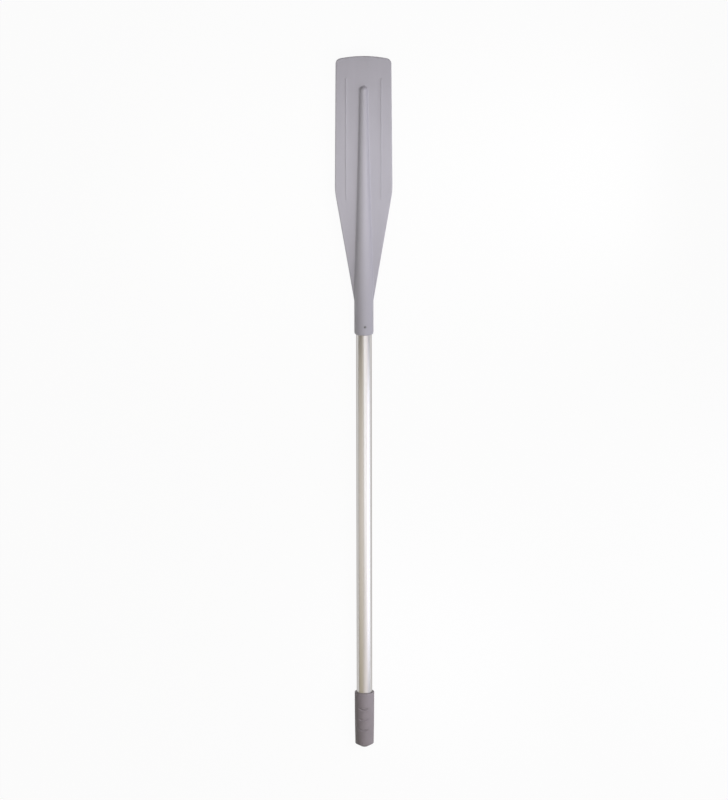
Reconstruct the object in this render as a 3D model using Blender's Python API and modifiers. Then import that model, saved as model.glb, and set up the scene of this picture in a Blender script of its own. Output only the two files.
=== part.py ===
"""Rowing oar: a ribbed moulded blade, a drawn aluminium tube and a moulded hand grip.

The oar lies flat along Y with its blade towards +Y, and rests on its socket and grip at z = 0.
It is modelled about its own axis and laid down by its parent empty: there X runs across the blade,
Y out of the front face, and Z is the station, the distance from the blade's tip.
"""
import math

import bmesh
import bpy
from mathutils import Matrix

# Whole oar, in metres
OAR_LENGTH = 1.800
SLIP = 0.0003  # clearance wherever two pieces meet
SIDES = 48  # flats round every large turned shape

# Shaft tube
TUBE_RADIUS = 0.020
TUBE_WALL = 0.0015

# Flat web of the blade
BLADE_LENGTH = 0.710  # tip to socket mouth
TIP_WIDTH = 0.1392
SHOULDER_WIDTH = 0.1445
SHOULDER_STATION = 0.343
SHOULDER_RADIUS = 0.190
CROWN_RADIUS = 0.303
TIP_CORNER_RADIUS = 0.014
WEB_THICKNESS = 0.005
EDGE_RADIUS = 0.0021

# Spine on both faces of the web
NOSE_STATION = 0.075
NOSE_RADIUS = 0.0103
FOOT_FILLET = 0.003
SPINE_WALL = 0.004  # left outside the hollow that the moulding's core leaves

# Thin beads either side of the spine
BEAD_SPACING = 0.0888
BEAD_START = 0.056
BEAD_RUN_PAST_SHOULDER = 0.0215
BEAD_WIDTH = 0.0022
BEAD_HEIGHT = 0.0009

# Socket at the blade's root
SOCKET_WALL = 0.0040
SOCKET_LENGTH = 0.087  # straight stretch before the blade starts to widen
SOCKET_DEPTH = 0.145  # how far the bore goes in from the mouth
MOUTH_LIP = 0.0006
MOUTH_ROUND_LENGTH = 0.0065

# Blind rivet through the socket and the tube's wall
RIVET_FROM_MOUTH = 0.0223
RIVET_TURN = math.radians(8.0)  # off the front face's middle, towards +X
RECESS_DEPTH = 0.0016
FLANGE_RADIUS = 0.0032
FLANGE_THICKNESS = 0.0010
SHANK_RADIUS = 0.0016
BULGE_RADIUS = 0.0026
BULGE_LENGTH = 0.0030
MANDREL_RADIUS = 0.0007
MANDREL_HEAD_RADIUS = 0.0013
RIVET_SIDES = 24

# End plugs of the tube
PLUG_FLANGE = 0.0015
PLUG_LENGTH = 0.018
PLUG_WALL = 0.0018
PLUG_FIN_DEPTH = 0.0008
PLUG_FINS = 3
PLUG_SIDES = 32

# Hand grip
GRIP_LENGTH = 0.147
GRIP_WALL = 0.0049
GRIP_TAPER = 0.0015  # radius lost from the mouth to the end cone
GRIP_FLOOR = 0.013  # closed end beyond the bore
GRIP_LIP_RADIUS = 0.0012
END_CONE_LENGTH = 0.009
END_FLAT_RADIUS = 0.008
END_CORNER_RADIUS = 0.002

# Finger grooves on both faces of the grip
GROOVES = 3
FIRST_GROOVE = 0.043  # from the grip's mouth
GROOVE_PITCH = 0.028
GROOVE_DEPTH = 0.0026
GROOVE_TOOL_RADIUS = 0.0019
GROOVE_REACH = math.radians(32.0)  # how far a groove goes round, either side of its middle
GROOVE_SAG = 0.003  # its ends lie this much nearer the grip's mouth than its middle
GROOVE_TURN = math.radians(7.0)  # off the blade's faces, as the grip sits on its tube
GROOVE_RUN_OUT = 0.0005  # how far its bar stands clear of the grip at both ends

# Sizes that follow
HALF_WEB = WEB_THICKNESS / 2
EDGE_ROUND = min(EDGE_RADIUS, 0.45 * WEB_THICKNESS)  # a thin web takes a smaller round
BORE_RADIUS = TUBE_RADIUS + SLIP
TUBE_INNER = TUBE_RADIUS - TUBE_WALL
SOCKET_RADIUS = BORE_RADIUS + SOCKET_WALL
GRIP_RADIUS = BORE_RADIUS + GRIP_WALL
TAPER_END = BLADE_LENGTH - SOCKET_LENGTH
BORE_END = BLADE_LENGTH - SOCKET_DEPTH
GRIP_MOUTH = OAR_LENGTH - GRIP_LENGTH
GRIP_BORE_END = OAR_LENGTH - GRIP_FLOOR
CONE_START = OAR_LENGTH - END_CONE_LENGTH
TUBE_START = BORE_END + PLUG_FLANGE + 2 * SLIP
TUBE_END = GRIP_BORE_END - PLUG_FLANGE - 2 * SLIP
AXIS_HEIGHT = max(SOCKET_RADIUS, GRIP_RADIUS) * math.cos(math.pi / SIDES)
OVERRUN = 0.010  # how far a cutter runs out into the open

# Materials: colour, roughness, metallic
BLADE_PLASTIC = ((0.47, 0.46, 0.49, 1.0), 0.45, 0.0)
GRIP_PLASTIC = ((0.22, 0.20, 0.21, 1.0), 0.60, 0.0)
ANODISED_TUBE = ((0.80, 0.79, 0.78, 1.0), 0.28, 1.0)
RIVET_ALUMINIUM = ((0.40, 0.40, 0.41, 1.0), 0.40, 1.0)
MANDREL_STEEL = ((0.35, 0.34, 0.33, 1.0), 0.45, 1.0)
PLUG_PLASTIC = ((0.05, 0.05, 0.05, 1.0), 0.55, 0.0)


def clear_scene():
    for obj in list(bpy.data.objects):
        bpy.data.objects.remove(obj)


def new_collection(name):
    collection = bpy.data.collections.new(name)
    bpy.context.scene.collection.children.link(collection)
    return collection


def add_object(name, data, collection, parent):
    obj = bpy.data.objects.new(name, data)
    collection.objects.link(obj)
    obj.parent = parent
    return obj


def arc(centre, radius, start, end, steps):
    """Points round a circle from one angle to another, both ends included."""
    across, along = centre
    angles = [start + (end - start) * i / steps for i in range(steps + 1)]
    return [(across + radius * math.cos(a), along + radius * math.sin(a)) for a in angles]


def rounded_corner(before, corner, after, radius, steps):
    """The arc that replaces a corner between two straight lines, tangent to both."""
    to_before = math.atan2(before[1] - corner[1], before[0] - corner[0])
    to_after = math.atan2(after[1] - corner[1], after[0] - corner[0])
    opening = (to_after - to_before + math.pi) % (2 * math.pi) - math.pi
    middle = to_before + opening / 2
    reach = radius / math.sin(abs(opening) / 2)
    centre = (corner[0] + reach * math.cos(middle), corner[1] + reach * math.sin(middle))
    side = math.copysign(math.pi / 2, opening)
    return arc(centre, radius, to_before - side, to_before + opening - 3 * side, steps)


# Turned, swept and primitive shapes

def turned(name, profile, place, is_ring=False, sides=SIDES):
    """Turn (radius, station) points about the axis.

    The points run down the outer side from the highest station. A ring's last point joins its
    first, and any other profile starts and ends on the axis.
    """
    collection, parent = place
    edges = [(i, i + 1) for i in range(len(profile) - 1)]
    if is_ring:
        edges.append((len(profile) - 1, 0))
    mesh = bpy.data.meshes.new(name)
    mesh.from_pydata([(radius, 0.0, station) for radius, station in profile], edges, [])
    obj = add_object(name, mesh, collection, parent)
    obj.rotation_euler.z = math.pi / sides  # a flat, not an edge, faces the floor
    screw = obj.modifiers.new("Turn", 'SCREW')
    screw.steps = sides
    screw.render_steps = sides
    screw.use_merge_vertices = True
    screw.merge_threshold = 0.00001
    return obj


def cylinder(name, radius, low, high, place, sides=SIDES):
    collection, parent = place
    bm = bmesh.new()
    bmesh.ops.create_cone(bm, cap_ends=True, segments=sides, radius1=radius, radius2=radius,
                          depth=high - low)
    bmesh.ops.translate(bm, verts=bm.verts, vec=(0.0, 0.0, (low + high) / 2))
    mesh = bpy.data.meshes.new(name)
    bm.to_mesh(mesh)
    bm.free()
    obj = add_object(name, mesh, collection, parent)
    obj.rotation_euler.z = math.pi / sides
    return obj


def loft(name, sections, place):
    """Skin equal closed sections into one capped solid."""
    collection, parent = place
    bm = bmesh.new()
    rings = [[bm.verts.new(point) for point in section] for section in sections]
    count = len(rings[0])
    for ring, following in zip(rings, rings[1:]):
        for i in range(count):
            j = (i + 1) % count
            bm.faces.new((ring[i], ring[j], following[j], following[i]))
    bm.faces.new(rings[0])
    bm.faces.new(rings[-1])
    bmesh.ops.recalc_face_normals(bm, faces=bm.faces)
    mesh = bpy.data.meshes.new(name)
    bm.to_mesh(mesh)
    bm.free()
    return add_object(name, mesh, collection, parent)


def mesh_from_curve(curve_object):
    """Replace a curve by its welded mesh, in the same place."""
    bpy.context.view_layer.update()
    depsgraph = bpy.context.evaluated_depsgraph_get()
    mesh = bpy.data.meshes.new_from_object(curve_object.evaluated_get(depsgraph))
    bm = bmesh.new()
    bm.from_mesh(mesh)
    bmesh.ops.remove_doubles(bm, verts=bm.verts, dist=0.000001)
    bmesh.ops.recalc_face_normals(bm, faces=bm.faces)
    bm.to_mesh(mesh)
    bm.free()
    name = curve_object.name
    collection = curve_object.users_collection[0]
    parent = curve_object.parent
    matrix = curve_object.matrix_world.copy()
    bpy.data.objects.remove(curve_object)
    obj = add_object(name, mesh, collection, parent)
    obj.matrix_world = matrix
    return obj


def combine(obj, other, operation):
    boolean = obj.modifiers.new(other.name, 'BOOLEAN')
    boolean.operation = operation
    boolean.solver = 'EXACT'
    boolean.object = other


def finish(obj, material_values):
    """Fix the piece's modifiers into its mesh, shade it and give it its own material."""
    bpy.context.view_layer.update()
    depsgraph = bpy.context.evaluated_depsgraph_get()
    mesh = bpy.data.meshes.new_from_object(obj.evaluated_get(depsgraph))
    mesh.name = obj.name
    obj.modifiers.clear()
    obj.data = mesh
    mesh.shade_smooth()
    mesh.set_sharp_from_angle(angle=math.radians(30.0))
    colour, roughness, metallic = material_values
    material = bpy.data.materials.new(obj.name)
    material.use_nodes = True
    shader = material.node_tree.nodes["Principled BSDF"]
    shader.inputs["Base Color"].default_value = colour
    shader.inputs["Roughness"].default_value = roughness
    shader.inputs["Metallic"].default_value = metallic
    mesh.materials.clear()
    mesh.materials.append(material)


# Blade moulding

def spine_slope():
    """Angle at which the spine's side leaves the oar's axis, from the round nose to the socket."""
    run = TAPER_END - NOSE_STATION - NOSE_RADIUS
    return math.asin((SOCKET_RADIUS - NOSE_RADIUS) / run)


def spine_radius(station):
    return SOCKET_RADIUS - (TAPER_END - station) * math.tan(spine_slope())


def web_half_width(station):
    """Half width of the web between the shoulder and the socket."""
    slope = (SHOULDER_WIDTH / 2 - SOCKET_RADIUS) / (TAPER_END - SHOULDER_STATION)
    return SOCKET_RADIUS + (TAPER_END - station) * slope


def half_outline():
    """One side of the web as (across, station), from the crowned tip to inside the socket's wall."""
    corner_across = TIP_WIDTH / 2 - TIP_CORNER_RADIUS
    reach = CROWN_RADIUS - TIP_CORNER_RADIUS
    corner = (corner_across, CROWN_RADIUS - math.sqrt(reach ** 2 - corner_across ** 2))
    join = math.asin(corner_across / reach)
    crown = arc((0.0, CROWN_RADIUS), CROWN_RADIUS, -math.pi / 2, join - math.pi / 2, 10)
    tip_corner = arc(corner, TIP_CORNER_RADIUS, join - math.pi / 2, 0.0, 8)
    shoulder = (SHOULDER_WIDTH / 2, SHOULDER_STATION)
    root_across = (BORE_RADIUS + SOCKET_RADIUS) / 2
    taper = (shoulder[0] - SOCKET_RADIUS) / (TAPER_END - SHOULDER_STATION)
    root = (root_across, TAPER_END + (SOCKET_RADIUS - root_across) / taper)
    return crown + tip_corner[1:] + rounded_corner(tip_corner[-1], shoulder, root,
                                                   SHOULDER_RADIUS, 6) + [root]


def web_plate(name, place):
    """The flat web: its outline drawn as a curve, thickened and given a round edge."""
    right = half_outline()
    left = [(-across, station) for across, station in reversed(right) if across > 0.0]
    outline = right + left
    curve = bpy.data.curves.new(name, 'CURVE')
    curve.dimensions = '2D'
    curve.fill_mode = 'BOTH'
    curve.extrude = HALF_WEB - EDGE_ROUND
    curve.bevel_depth = EDGE_ROUND
    curve.bevel_resolution = 3
    curve.offset = -EDGE_ROUND
    spline = curve.splines.new('POLY')
    spline.points.add(len(outline) - 1)
    for point, (across, station) in zip(spline.points, outline):
        point.co = (across, station, 0.0, 1.0)
    spline.use_cyclic_u = True
    collection, parent = place
    drawn = add_object(name, curve, collection, parent)
    drawn.rotation_euler.x = math.pi / 2
    return mesh_from_curve(drawn)


def spine_and_socket(place):
    """The turned spine: rounded socket mouth, straight socket, long cone and ball nose."""
    lip = BORE_RADIUS + MOUTH_LIP
    rounding = SOCKET_RADIUS - lip
    mouth = []
    for i in range(6):
        angle = math.pi / 2 * (1 - i / 5)
        station = BLADE_LENGTH - MOUTH_ROUND_LENGTH * (1 - math.sin(angle))
        mouth.append((lip + rounding * math.cos(angle), station))
    slope = spine_slope()
    nose = arc((0.0, NOSE_STATION + NOSE_RADIUS), NOSE_RADIUS, -slope, -math.pi / 2, 8)
    nose[-1] = (0.0, NOSE_STATION)
    profile = [(0.0, BLADE_LENGTH)] + mouth + [(SOCKET_RADIUS, TAPER_END)] + nose
    return turned("spine", profile, place)


def moulding_core(place):
    """What hollows the blade: the tube's bore, then a cone that keeps the spine's wall even."""
    slope = spine_slope()
    ball = NOSE_RADIUS - SPINE_WALL
    end = arc((0.0, NOSE_STATION + NOSE_RADIUS), ball, -slope, -math.pi / 2, 5)
    end[-1] = (0.0, NOSE_STATION + SPINE_WALL)
    profile = [(0.0, BLADE_LENGTH + OVERRUN), (BORE_RADIUS, BLADE_LENGTH + OVERRUN),
               (BORE_RADIUS, BORE_END), (spine_radius(BORE_END) - SPINE_WALL, BORE_END)] + end
    return turned("moulding_core", profile, place)


def foot_section(station, turn, fillet):
    """Concave fillets between spine and web, above and below it, as one closed section.

    The section stands square to the spine's foot: turn is 0 on its +X side, a quarter turn at the
    nose and a half turn on its -X side. Both ends of each fillet sink a little into what they join.
    """
    sink = 0.00004
    radius = max(spine_radius(station), NOSE_RADIUS) - sink
    level = HALF_WEB - sink
    lean = math.asin((level + fillet) / (radius + fillet))
    centre = ((radius + fillet) * math.cos(lean), level + fillet)
    upper = arc(centre, fillet, math.pi + lean, 1.5 * math.pi, 6)
    section = upper + [(out, -height) for out, height in reversed(upper)]
    return [(out * math.cos(turn), height, station - out * math.sin(turn))
            for out, height in section]


def spine_foot(place):
    """The fillet swept along one side of the spine, round its nose and back along the other."""
    growth = web_half_width(0.0) - spine_radius(0.0)
    per_metre = growth / TAPER_END
    smallest = 0.0005
    root = TAPER_END - (EDGE_ROUND + smallest) / per_metre
    full = TAPER_END - (EDGE_ROUND + 1.5 * FOOT_FILLET) / per_metre
    nose = NOSE_STATION + NOSE_RADIUS
    stations = [root + (full - root) * i / 5 for i in range(6)]
    stations += [full + (nose - full) * i / 8 for i in range(1, 9)]
    side = []
    for station in stations:
        free = (TAPER_END - station) * per_metre - EDGE_ROUND
        side.append((station, min(FOOT_FILLET, free / 1.5)))
    rows = [foot_section(station, 0.0, fillet) for station, fillet in side]
    rows += [foot_section(nose, math.pi * i / 16, FOOT_FILLET) for i in range(1, 16)]
    rows += [foot_section(station, math.pi, fillet) for station, fillet in reversed(side)]
    return loft("spine_foot", rows, place)


def bead(name, across, place):
    """A thin bar through the web whose rounded edges stand proud of both faces."""
    collection, parent = place
    start = BEAD_START
    end = SHOULDER_STATION + BEAD_RUN_PAST_SHOULDER
    size = (BEAD_WIDTH, 2 * (HALF_WEB + BEAD_HEIGHT), end - start)
    bm = bmesh.new()
    bmesh.ops.create_cube(bm, size=1.0)
    bmesh.ops.scale(bm, verts=bm.verts, vec=size)
    mesh = bpy.data.meshes.new(name)
    bm.to_mesh(mesh)
    bm.free()
    obj = add_object(name, mesh, collection, parent)
    obj.location = (across, 0.0, (start + end) / 2)
    bevel = obj.modifiers.new("Round", 'BEVEL')
    bevel.width = 0.4 * BEAD_WIDTH
    bevel.segments = 3
    return obj


def rivet_frame():
    """Where the rivet stands: its own Z runs out from the oar's axis, and its heights are radii."""
    station = BLADE_LENGTH - RIVET_FROM_MOUTH
    outward = Matrix.Rotation(-RIVET_TURN, 4, 'Z') @ Matrix.Rotation(-math.pi / 2, 4, 'X')
    return Matrix.Translation((0.0, 0.0, station)) @ outward


def rivet_hole(place):
    hole = cylinder("rivet_hole", SHANK_RADIUS + SLIP, TUBE_INNER - OVERRUN / 2,
                    SOCKET_RADIUS + OVERRUN, place, RIVET_SIDES)
    hole.matrix_local = rivet_frame()
    return hole


def blade(parts, cutters):
    obj = web_plate("blade", parts)
    combine(obj, spine_and_socket(cutters), 'UNION')
    combine(obj, spine_foot(cutters), 'UNION')
    for side, across in (("right", BEAD_SPACING / 2), ("left", -BEAD_SPACING / 2)):
        combine(obj, bead("bead_" + side, across, cutters), 'UNION')
    combine(obj, moulding_core(cutters), 'DIFFERENCE')
    recess = cylinder("rivet_recess", FLANGE_RADIUS + SLIP, SOCKET_RADIUS - RECESS_DEPTH,
                      SOCKET_RADIUS + OVERRUN, cutters, RIVET_SIDES)
    recess.matrix_local = rivet_frame()
    combine(obj, recess, 'DIFFERENCE')
    combine(obj, rivet_hole(cutters), 'DIFFERENCE')
    finish(obj, BLADE_PLASTIC)


# Shaft

def shaft_tube(parts, cutters):
    profile = [(TUBE_RADIUS, TUBE_END), (TUBE_RADIUS, TUBE_START),
               (TUBE_INNER, TUBE_START), (TUBE_INNER, TUBE_END)]
    obj = turned("shaft_tube", profile, parts, is_ring=True)
    combine(obj, rivet_hole(cutters), 'DIFFERENCE')
    finish(obj, ANODISED_TUBE)


def end_plugs(parts):
    """Two alike cups that close the tube: a flange over its end and sealing fins inside."""
    fin = TUBE_INNER - SLIP
    core = fin - PLUG_FIN_DEPTH
    pitch = PLUG_LENGTH / (PLUG_FINS + 1)
    outside = []
    for i in range(PLUG_FINS):
        middle = -pitch * (i + 1)
        outside += [(core, middle + pitch / 4), (fin, middle), (core, middle - pitch / 4)]
    profile = [(0.0, PLUG_FLANGE + SLIP), (TUBE_RADIUS, PLUG_FLANGE + SLIP), (TUBE_RADIUS, SLIP),
               (core, SLIP)] + outside
    profile += [(core, -PLUG_LENGTH), (core - PLUG_WALL, -PLUG_LENGTH),
                (core - PLUG_WALL, SLIP), (0.0, SLIP)]
    at_grip = turned("grip_end_plug", profile, parts, sides=PLUG_SIDES)
    at_grip.location.z = TUBE_END
    finish(at_grip, PLUG_PLASTIC)
    at_blade = turned("blade_end_plug", profile, parts, sides=PLUG_SIDES)
    at_blade.location.z = TUBE_START
    at_blade.rotation_euler.x = math.pi
    finish(at_blade, PLUG_PLASTIC)


def rivet(parts):
    """A set blind rivet: hollow body with flange and bulge, and the mandrel stub left in it."""
    seat = SOCKET_RADIUS - RECESS_DEPTH + SLIP
    top = seat + FLANGE_THICKNESS
    hollow = MANDREL_RADIUS + SLIP
    bulge_top = math.sqrt(TUBE_INNER ** 2 - BULGE_RADIUS ** 2) - SLIP
    bulge_end = bulge_top - BULGE_LENGTH
    dome = [(FLANGE_RADIUS * math.sin(a), seat + FLANGE_THICKNESS * math.cos(a))
            for a in (math.radians(30), math.radians(50), math.radians(70))]
    profile = [(hollow, top), *dome, (FLANGE_RADIUS, seat), (SHANK_RADIUS, seat),
               (SHANK_RADIUS, bulge_top), (BULGE_RADIUS, bulge_top - BULGE_LENGTH / 3),
               (BULGE_RADIUS, bulge_top - BULGE_LENGTH * 2 / 3), (SHANK_RADIUS, bulge_end),
               (hollow, bulge_end)]
    body = turned("rivet_body", profile, parts, is_ring=True, sides=RIVET_SIDES)
    body.matrix_local = rivet_frame()
    finish(body, RIVET_ALUMINIUM)
    head = bulge_end - SLIP
    profile = [(0.0, seat), (MANDREL_RADIUS, seat), (MANDREL_RADIUS, head),
               (MANDREL_HEAD_RADIUS, head), (MANDREL_HEAD_RADIUS, head - MANDREL_HEAD_RADIUS),
               (MANDREL_RADIUS, head - 1.6 * MANDREL_HEAD_RADIUS),
               (0.0, head - 1.8 * MANDREL_HEAD_RADIUS)]
    mandrel = turned("rivet_mandrel", profile, parts, sides=RIVET_SIDES)
    mandrel.matrix_local = rivet_frame()
    finish(mandrel, MANDREL_STEEL)


# Grip

def grip_radius(station):
    """The grip's outside: near straight at the mouth and drawn in towards the closed end."""
    share = (station - GRIP_MOUTH) / (CONE_START - GRIP_MOUTH)
    return GRIP_RADIUS - GRIP_TAPER * share ** 2


def finger_groove(name, station, face, place):
    """A short bar bent round the grip: its middle sinks in one face, and its ends rise out."""
    collection, parent = place
    lowest = grip_radius(station) - GROOVE_DEPTH + GROOVE_TOOL_RADIUS
    curve = bpy.data.curves.new(name, 'CURVE')
    curve.dimensions = '3D'
    curve.bevel_depth = GROOVE_TOOL_RADIUS
    curve.bevel_resolution = 3
    curve.use_fill_caps = True
    steps = 14
    spline = curve.splines.new('POLY')
    spline.points.add(steps)
    for i, point in enumerate(spline.points):
        share = 2 * i / steps - 1
        turn = GROOVE_REACH * share - GROOVE_TURN
        radius = lowest + (GROOVE_DEPTH + GROOVE_RUN_OUT) * share ** 4
        point.co = (face * radius * math.sin(turn), face * radius * math.cos(turn),
                    station - GROOVE_SAG * share ** 2, 1.0)
    return mesh_from_curve(add_object(name, curve, collection, parent))


def grip(parts, cutters):
    lip_end = GRIP_MOUTH + GRIP_LIP_RADIUS
    rings = 12
    stations = [CONE_START + (lip_end - CONE_START) * i / rings for i in range(1, rings + 1)]
    side = [(grip_radius(station), station) for station in stations]
    middle = (0.0, OAR_LENGTH)
    flat_corner = (END_FLAT_RADIUS, OAR_LENGTH)
    end_corner = (grip_radius(CONE_START), CONE_START)
    profile = [middle] + rounded_corner(middle, flat_corner, end_corner, END_CORNER_RADIUS, 3)
    profile += rounded_corner(flat_corner, end_corner, side[0], END_CORNER_RADIUS, 3) + side
    lip_centre = (grip_radius(lip_end) - GRIP_LIP_RADIUS, lip_end)
    profile += arc(lip_centre, GRIP_LIP_RADIUS, 0.0, -math.pi / 2, 4)[1:]
    profile += [(BORE_RADIUS, GRIP_MOUTH), (BORE_RADIUS, GRIP_BORE_END), (0.0, GRIP_BORE_END)]
    obj = turned("grip", profile, parts)
    for face_name, face in (("front", 1), ("back", -1)):
        for i in range(GROOVES):
            station = GRIP_MOUTH + FIRST_GROOVE + GROOVE_PITCH * i
            name = f"{face_name}_groove_{i + 1}"
            combine(obj, finger_groove(name, station, face, cutters), 'DIFFERENCE')
    finish(obj, GRIP_PLASTIC)


def main():
    clear_scene()
    part_collection = new_collection("oar")
    cutter_collection = new_collection("oar_cutters")
    axis = bpy.data.objects.new("oar_axis", None)
    part_collection.objects.link(axis)
    axis.location = (0.0, OAR_LENGTH / 2, AXIS_HEIGHT)
    axis.rotation_euler.x = math.pi / 2
    parts = (part_collection, axis)
    cutters = (cutter_collection, axis)
    blade(parts, cutters)
    shaft_tube(parts, cutters)
    end_plugs(parts)
    rivet(parts)
    grip(parts, cutters)
    for obj in cutter_collection.objects:
        obj.hide_render = True
        obj.display_type = 'WIRE'


if __name__ == "__main__":
    main()
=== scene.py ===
"""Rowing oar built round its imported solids, in a plain studio.

Every piece is shaped about the oar's own axis. A point there is (across, rise, station): across
the blade, out of its front face, and along the oar from the blade's tip, all in metres.
"""
import math
from types import SimpleNamespace

import bmesh
import bpy
from mathutils import Matrix, Vector


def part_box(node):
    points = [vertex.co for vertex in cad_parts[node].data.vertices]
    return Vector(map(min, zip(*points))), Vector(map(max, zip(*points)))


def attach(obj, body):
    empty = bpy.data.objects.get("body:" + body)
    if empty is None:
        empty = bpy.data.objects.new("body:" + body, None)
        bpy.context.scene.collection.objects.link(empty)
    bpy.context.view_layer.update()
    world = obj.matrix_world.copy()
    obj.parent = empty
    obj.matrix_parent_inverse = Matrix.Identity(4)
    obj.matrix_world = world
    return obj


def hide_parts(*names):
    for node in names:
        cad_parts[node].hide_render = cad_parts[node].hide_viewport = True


bl_info = {
    "name": "Rowing Oar",
    "version": (1, 0, 0),
    "blender": (4, 5, 0),
    "location": "View3D > Sidebar > Oar",
    "description": "Builds a rowing oar with a moulded blade, a drawn tube and a moulded grip",
    "category": "Add Mesh",
}

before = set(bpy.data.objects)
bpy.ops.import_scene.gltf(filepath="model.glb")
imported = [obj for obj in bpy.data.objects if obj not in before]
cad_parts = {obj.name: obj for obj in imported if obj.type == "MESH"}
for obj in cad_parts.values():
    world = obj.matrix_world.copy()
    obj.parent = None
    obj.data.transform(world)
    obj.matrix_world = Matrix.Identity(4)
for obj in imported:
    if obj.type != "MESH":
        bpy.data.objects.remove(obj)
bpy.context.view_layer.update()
BODY = "root"
BLADE_LOW, BLADE_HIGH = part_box("blade")
TUBE_LOW, TUBE_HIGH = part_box("shaft_tube")
GRIP_LOW, GRIP_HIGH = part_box("grip")
TIP_Y = BLADE_HIGH.y
AXIS_HEIGHT = (GRIP_LOW.z + GRIP_HIGH.z) / 2

MILLIMETRE = 0.001
RIGHT_ANGLE = math.pi / 2
WELD = 0.000001  # points nearer to each other than this become one
SHARP_ANGLE = math.radians(38.0)
CUT_OVERRUN = 0.004  # how far a cutter runs past the wall that it cuts
RIVET_MARGIN = 0.006  # close rows either side of the rivet keep its hole's faces small


def linear(code):
    """A hex sRGB colour as linear red, green, blue and alpha."""
    channels = [int(code[i:i + 2], 16) / 255 for i in (0, 2, 4)]
    return (*(c / 12.92 if c <= 0.04045 else ((c + 0.055) / 1.055) ** 2.4 for c in channels), 1.0)


# Settings that the sidebar shows

def number(name, description, default, **options):
    return bpy.props.FloatProperty(name=name, description=description, default=default, **options)


def length(name, description, default):
    return number(name, description, default, min=0.0, unit='LENGTH', precision=5)


def colour(name, description, code):
    return bpy.props.FloatVectorProperty(name=name, description=description, size=4, min=0.0,
                                         max=1.0, subtype='COLOR', default=linear(code))


def share(name, description, default):
    return number(name, description, default, min=0.0, max=1.0, subtype='FACTOR')


def angle(name, description, degrees):
    return number(name, description, math.radians(degrees), subtype='ANGLE')


class OarBladeSettings(bpy.types.PropertyGroup):
    """Sizes and colour of the blade moulding."""

    blade_length: length("Blade Length", "From the tip to the socket's mouth",
                         BLADE_HIGH.y - BLADE_LOW.y)
    tip_width: length("Tip Width", "Width across the tip's corners", 0.1392)
    shoulder_width: length("Shoulder Width", "Width where the sides turn in", 0.1445)
    shoulder_station: length("Shoulder Station", "From the tip to the shoulder", 0.343)
    shoulder_radius: length("Shoulder Radius", "Rounding of the shoulder", 0.190)
    crown_radius: length("Crown Radius", "Radius of the tip's crowned end", 0.303)
    corner_radius: length("Corner Radius", "Rounding of the tip's corners", 0.014)
    web_thickness: length("Web Thickness", "Thickness of the flat web", 0.005)
    edge_radius: length("Edge Radius", "Rounding of the web's edge", 0.0021)
    nose_station: length("Nose Station", "From the tip to the front of the spine", 0.075)
    nose_radius: length("Nose Radius", "Radius of the spine's round nose", 0.0103)
    spine_waist: length("Spine Waist", "How much the spine is hollowed halfway along", 0.0012)
    foot_fillet: length("Foot Fillet", "Concave fillet between spine and web", 0.005)
    bead_spacing: length("Bead Spacing", "Between the beads either side of the spine", 0.0888)
    bead_start: length("Bead Start", "From the tip to the beads", 0.056)
    bead_end: length("Bead End", "From the tip to where the beads stop", 0.3645)
    bead_width: length("Bead Width", "Width of a bead at its foot", 0.0028)
    bead_height: length("Bead Height", "How far a bead stands out of the web", 0.00075)
    socket_radius: length("Socket Radius", "Outside radius of the socket",
                          (BLADE_HIGH.z - BLADE_LOW.z) / 2)
    socket_length: length("Socket Length", "Straight stretch before the blade widens", 0.087)
    bore_radius: length("Bore Radius", "Bore that takes the tube", 0.0203)
    bore_depth: length("Bore Depth", "From the mouth to the bore's end", 0.145)
    mouth_lip: length("Mouth Lip", "Flat ring left round the bore at the mouth", 0.0006)
    mouth_round: length("Mouth Round", "Length of the mouth's rounding", 0.0065)
    spine_wall: length("Spine Wall", "Wall left round the hollow core", 0.004)
    plastic: colour("Plastic", "Moulded polypropylene of the blade", "AEADB6")


class OarTubeSettings(bpy.types.PropertyGroup):
    """Sizes and finish of the drawn tube."""

    radius: length("Radius", "Outside radius of the tube", (TUBE_HIGH.z - TUBE_LOW.z) / 2)
    wall: length("Wall", "Thickness of the tube's wall", 0.0015)
    edge_break: length("Edge Break", "Chamfer on the sawn ends", 0.0003)
    metal: colour("Metal", "Satin anodised aluminium", "D3D1CF")
    roughness: share("Roughness", "How soft the tube's reflections are", 0.30)


class OarGripSettings(bpy.types.PropertyGroup):
    """Sizes and colour of the hand grip."""

    radius: length("Radius", "Outside radius at the mouth", (GRIP_HIGH.z - GRIP_LOW.z) / 2)
    bore_radius: length("Bore Radius", "Bore that takes the tube", 0.0203)
    floor: length("Floor", "Closed end beyond the bore", 0.013)
    lip_radius: length("Lip Radius", "Rounding of the grip's mouth", 0.0012)
    taper: length("Taper", "Radius lost from the mouth to the end cone", 0.0015)
    cone_length: length("Cone Length", "Length of the conical end", 0.009)
    flat_radius: length("End Flat Radius", "Radius of the flat end", 0.008)
    corner_radius: length("Corner Radius", "Rounding of the end's corners", 0.002)
    grooves: bpy.props.IntProperty(name="Grooves", description="Finger grooves on each face",
                                   default=3, min=0, max=4)
    first_groove: length("First Groove", "From the grip's mouth to the first groove", 0.043)
    groove_pitch: length("Groove Pitch", "From one groove to the next", 0.028)
    groove_depth: length("Groove Depth", "Depth at the middle of a groove", 0.0026)
    groove_round: length("Groove Round", "Radius of a groove's floor", 0.0019)
    groove_reach: angle("Groove Reach", "How far a groove goes round from its middle", 32.0)
    groove_sag: length("Groove Sag", "How much nearer the mouth its ends lie", 0.003)
    groove_run_out: length("Groove Run-out", "Clearance of its tool at its ends", 0.0005)
    groove_turn: angle("Groove Turn", "Turn of the grooves off the blade's faces", 7.0)
    plastic: colour("Plastic", "Moulded soft vinyl of the grip", "857F81")


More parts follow.
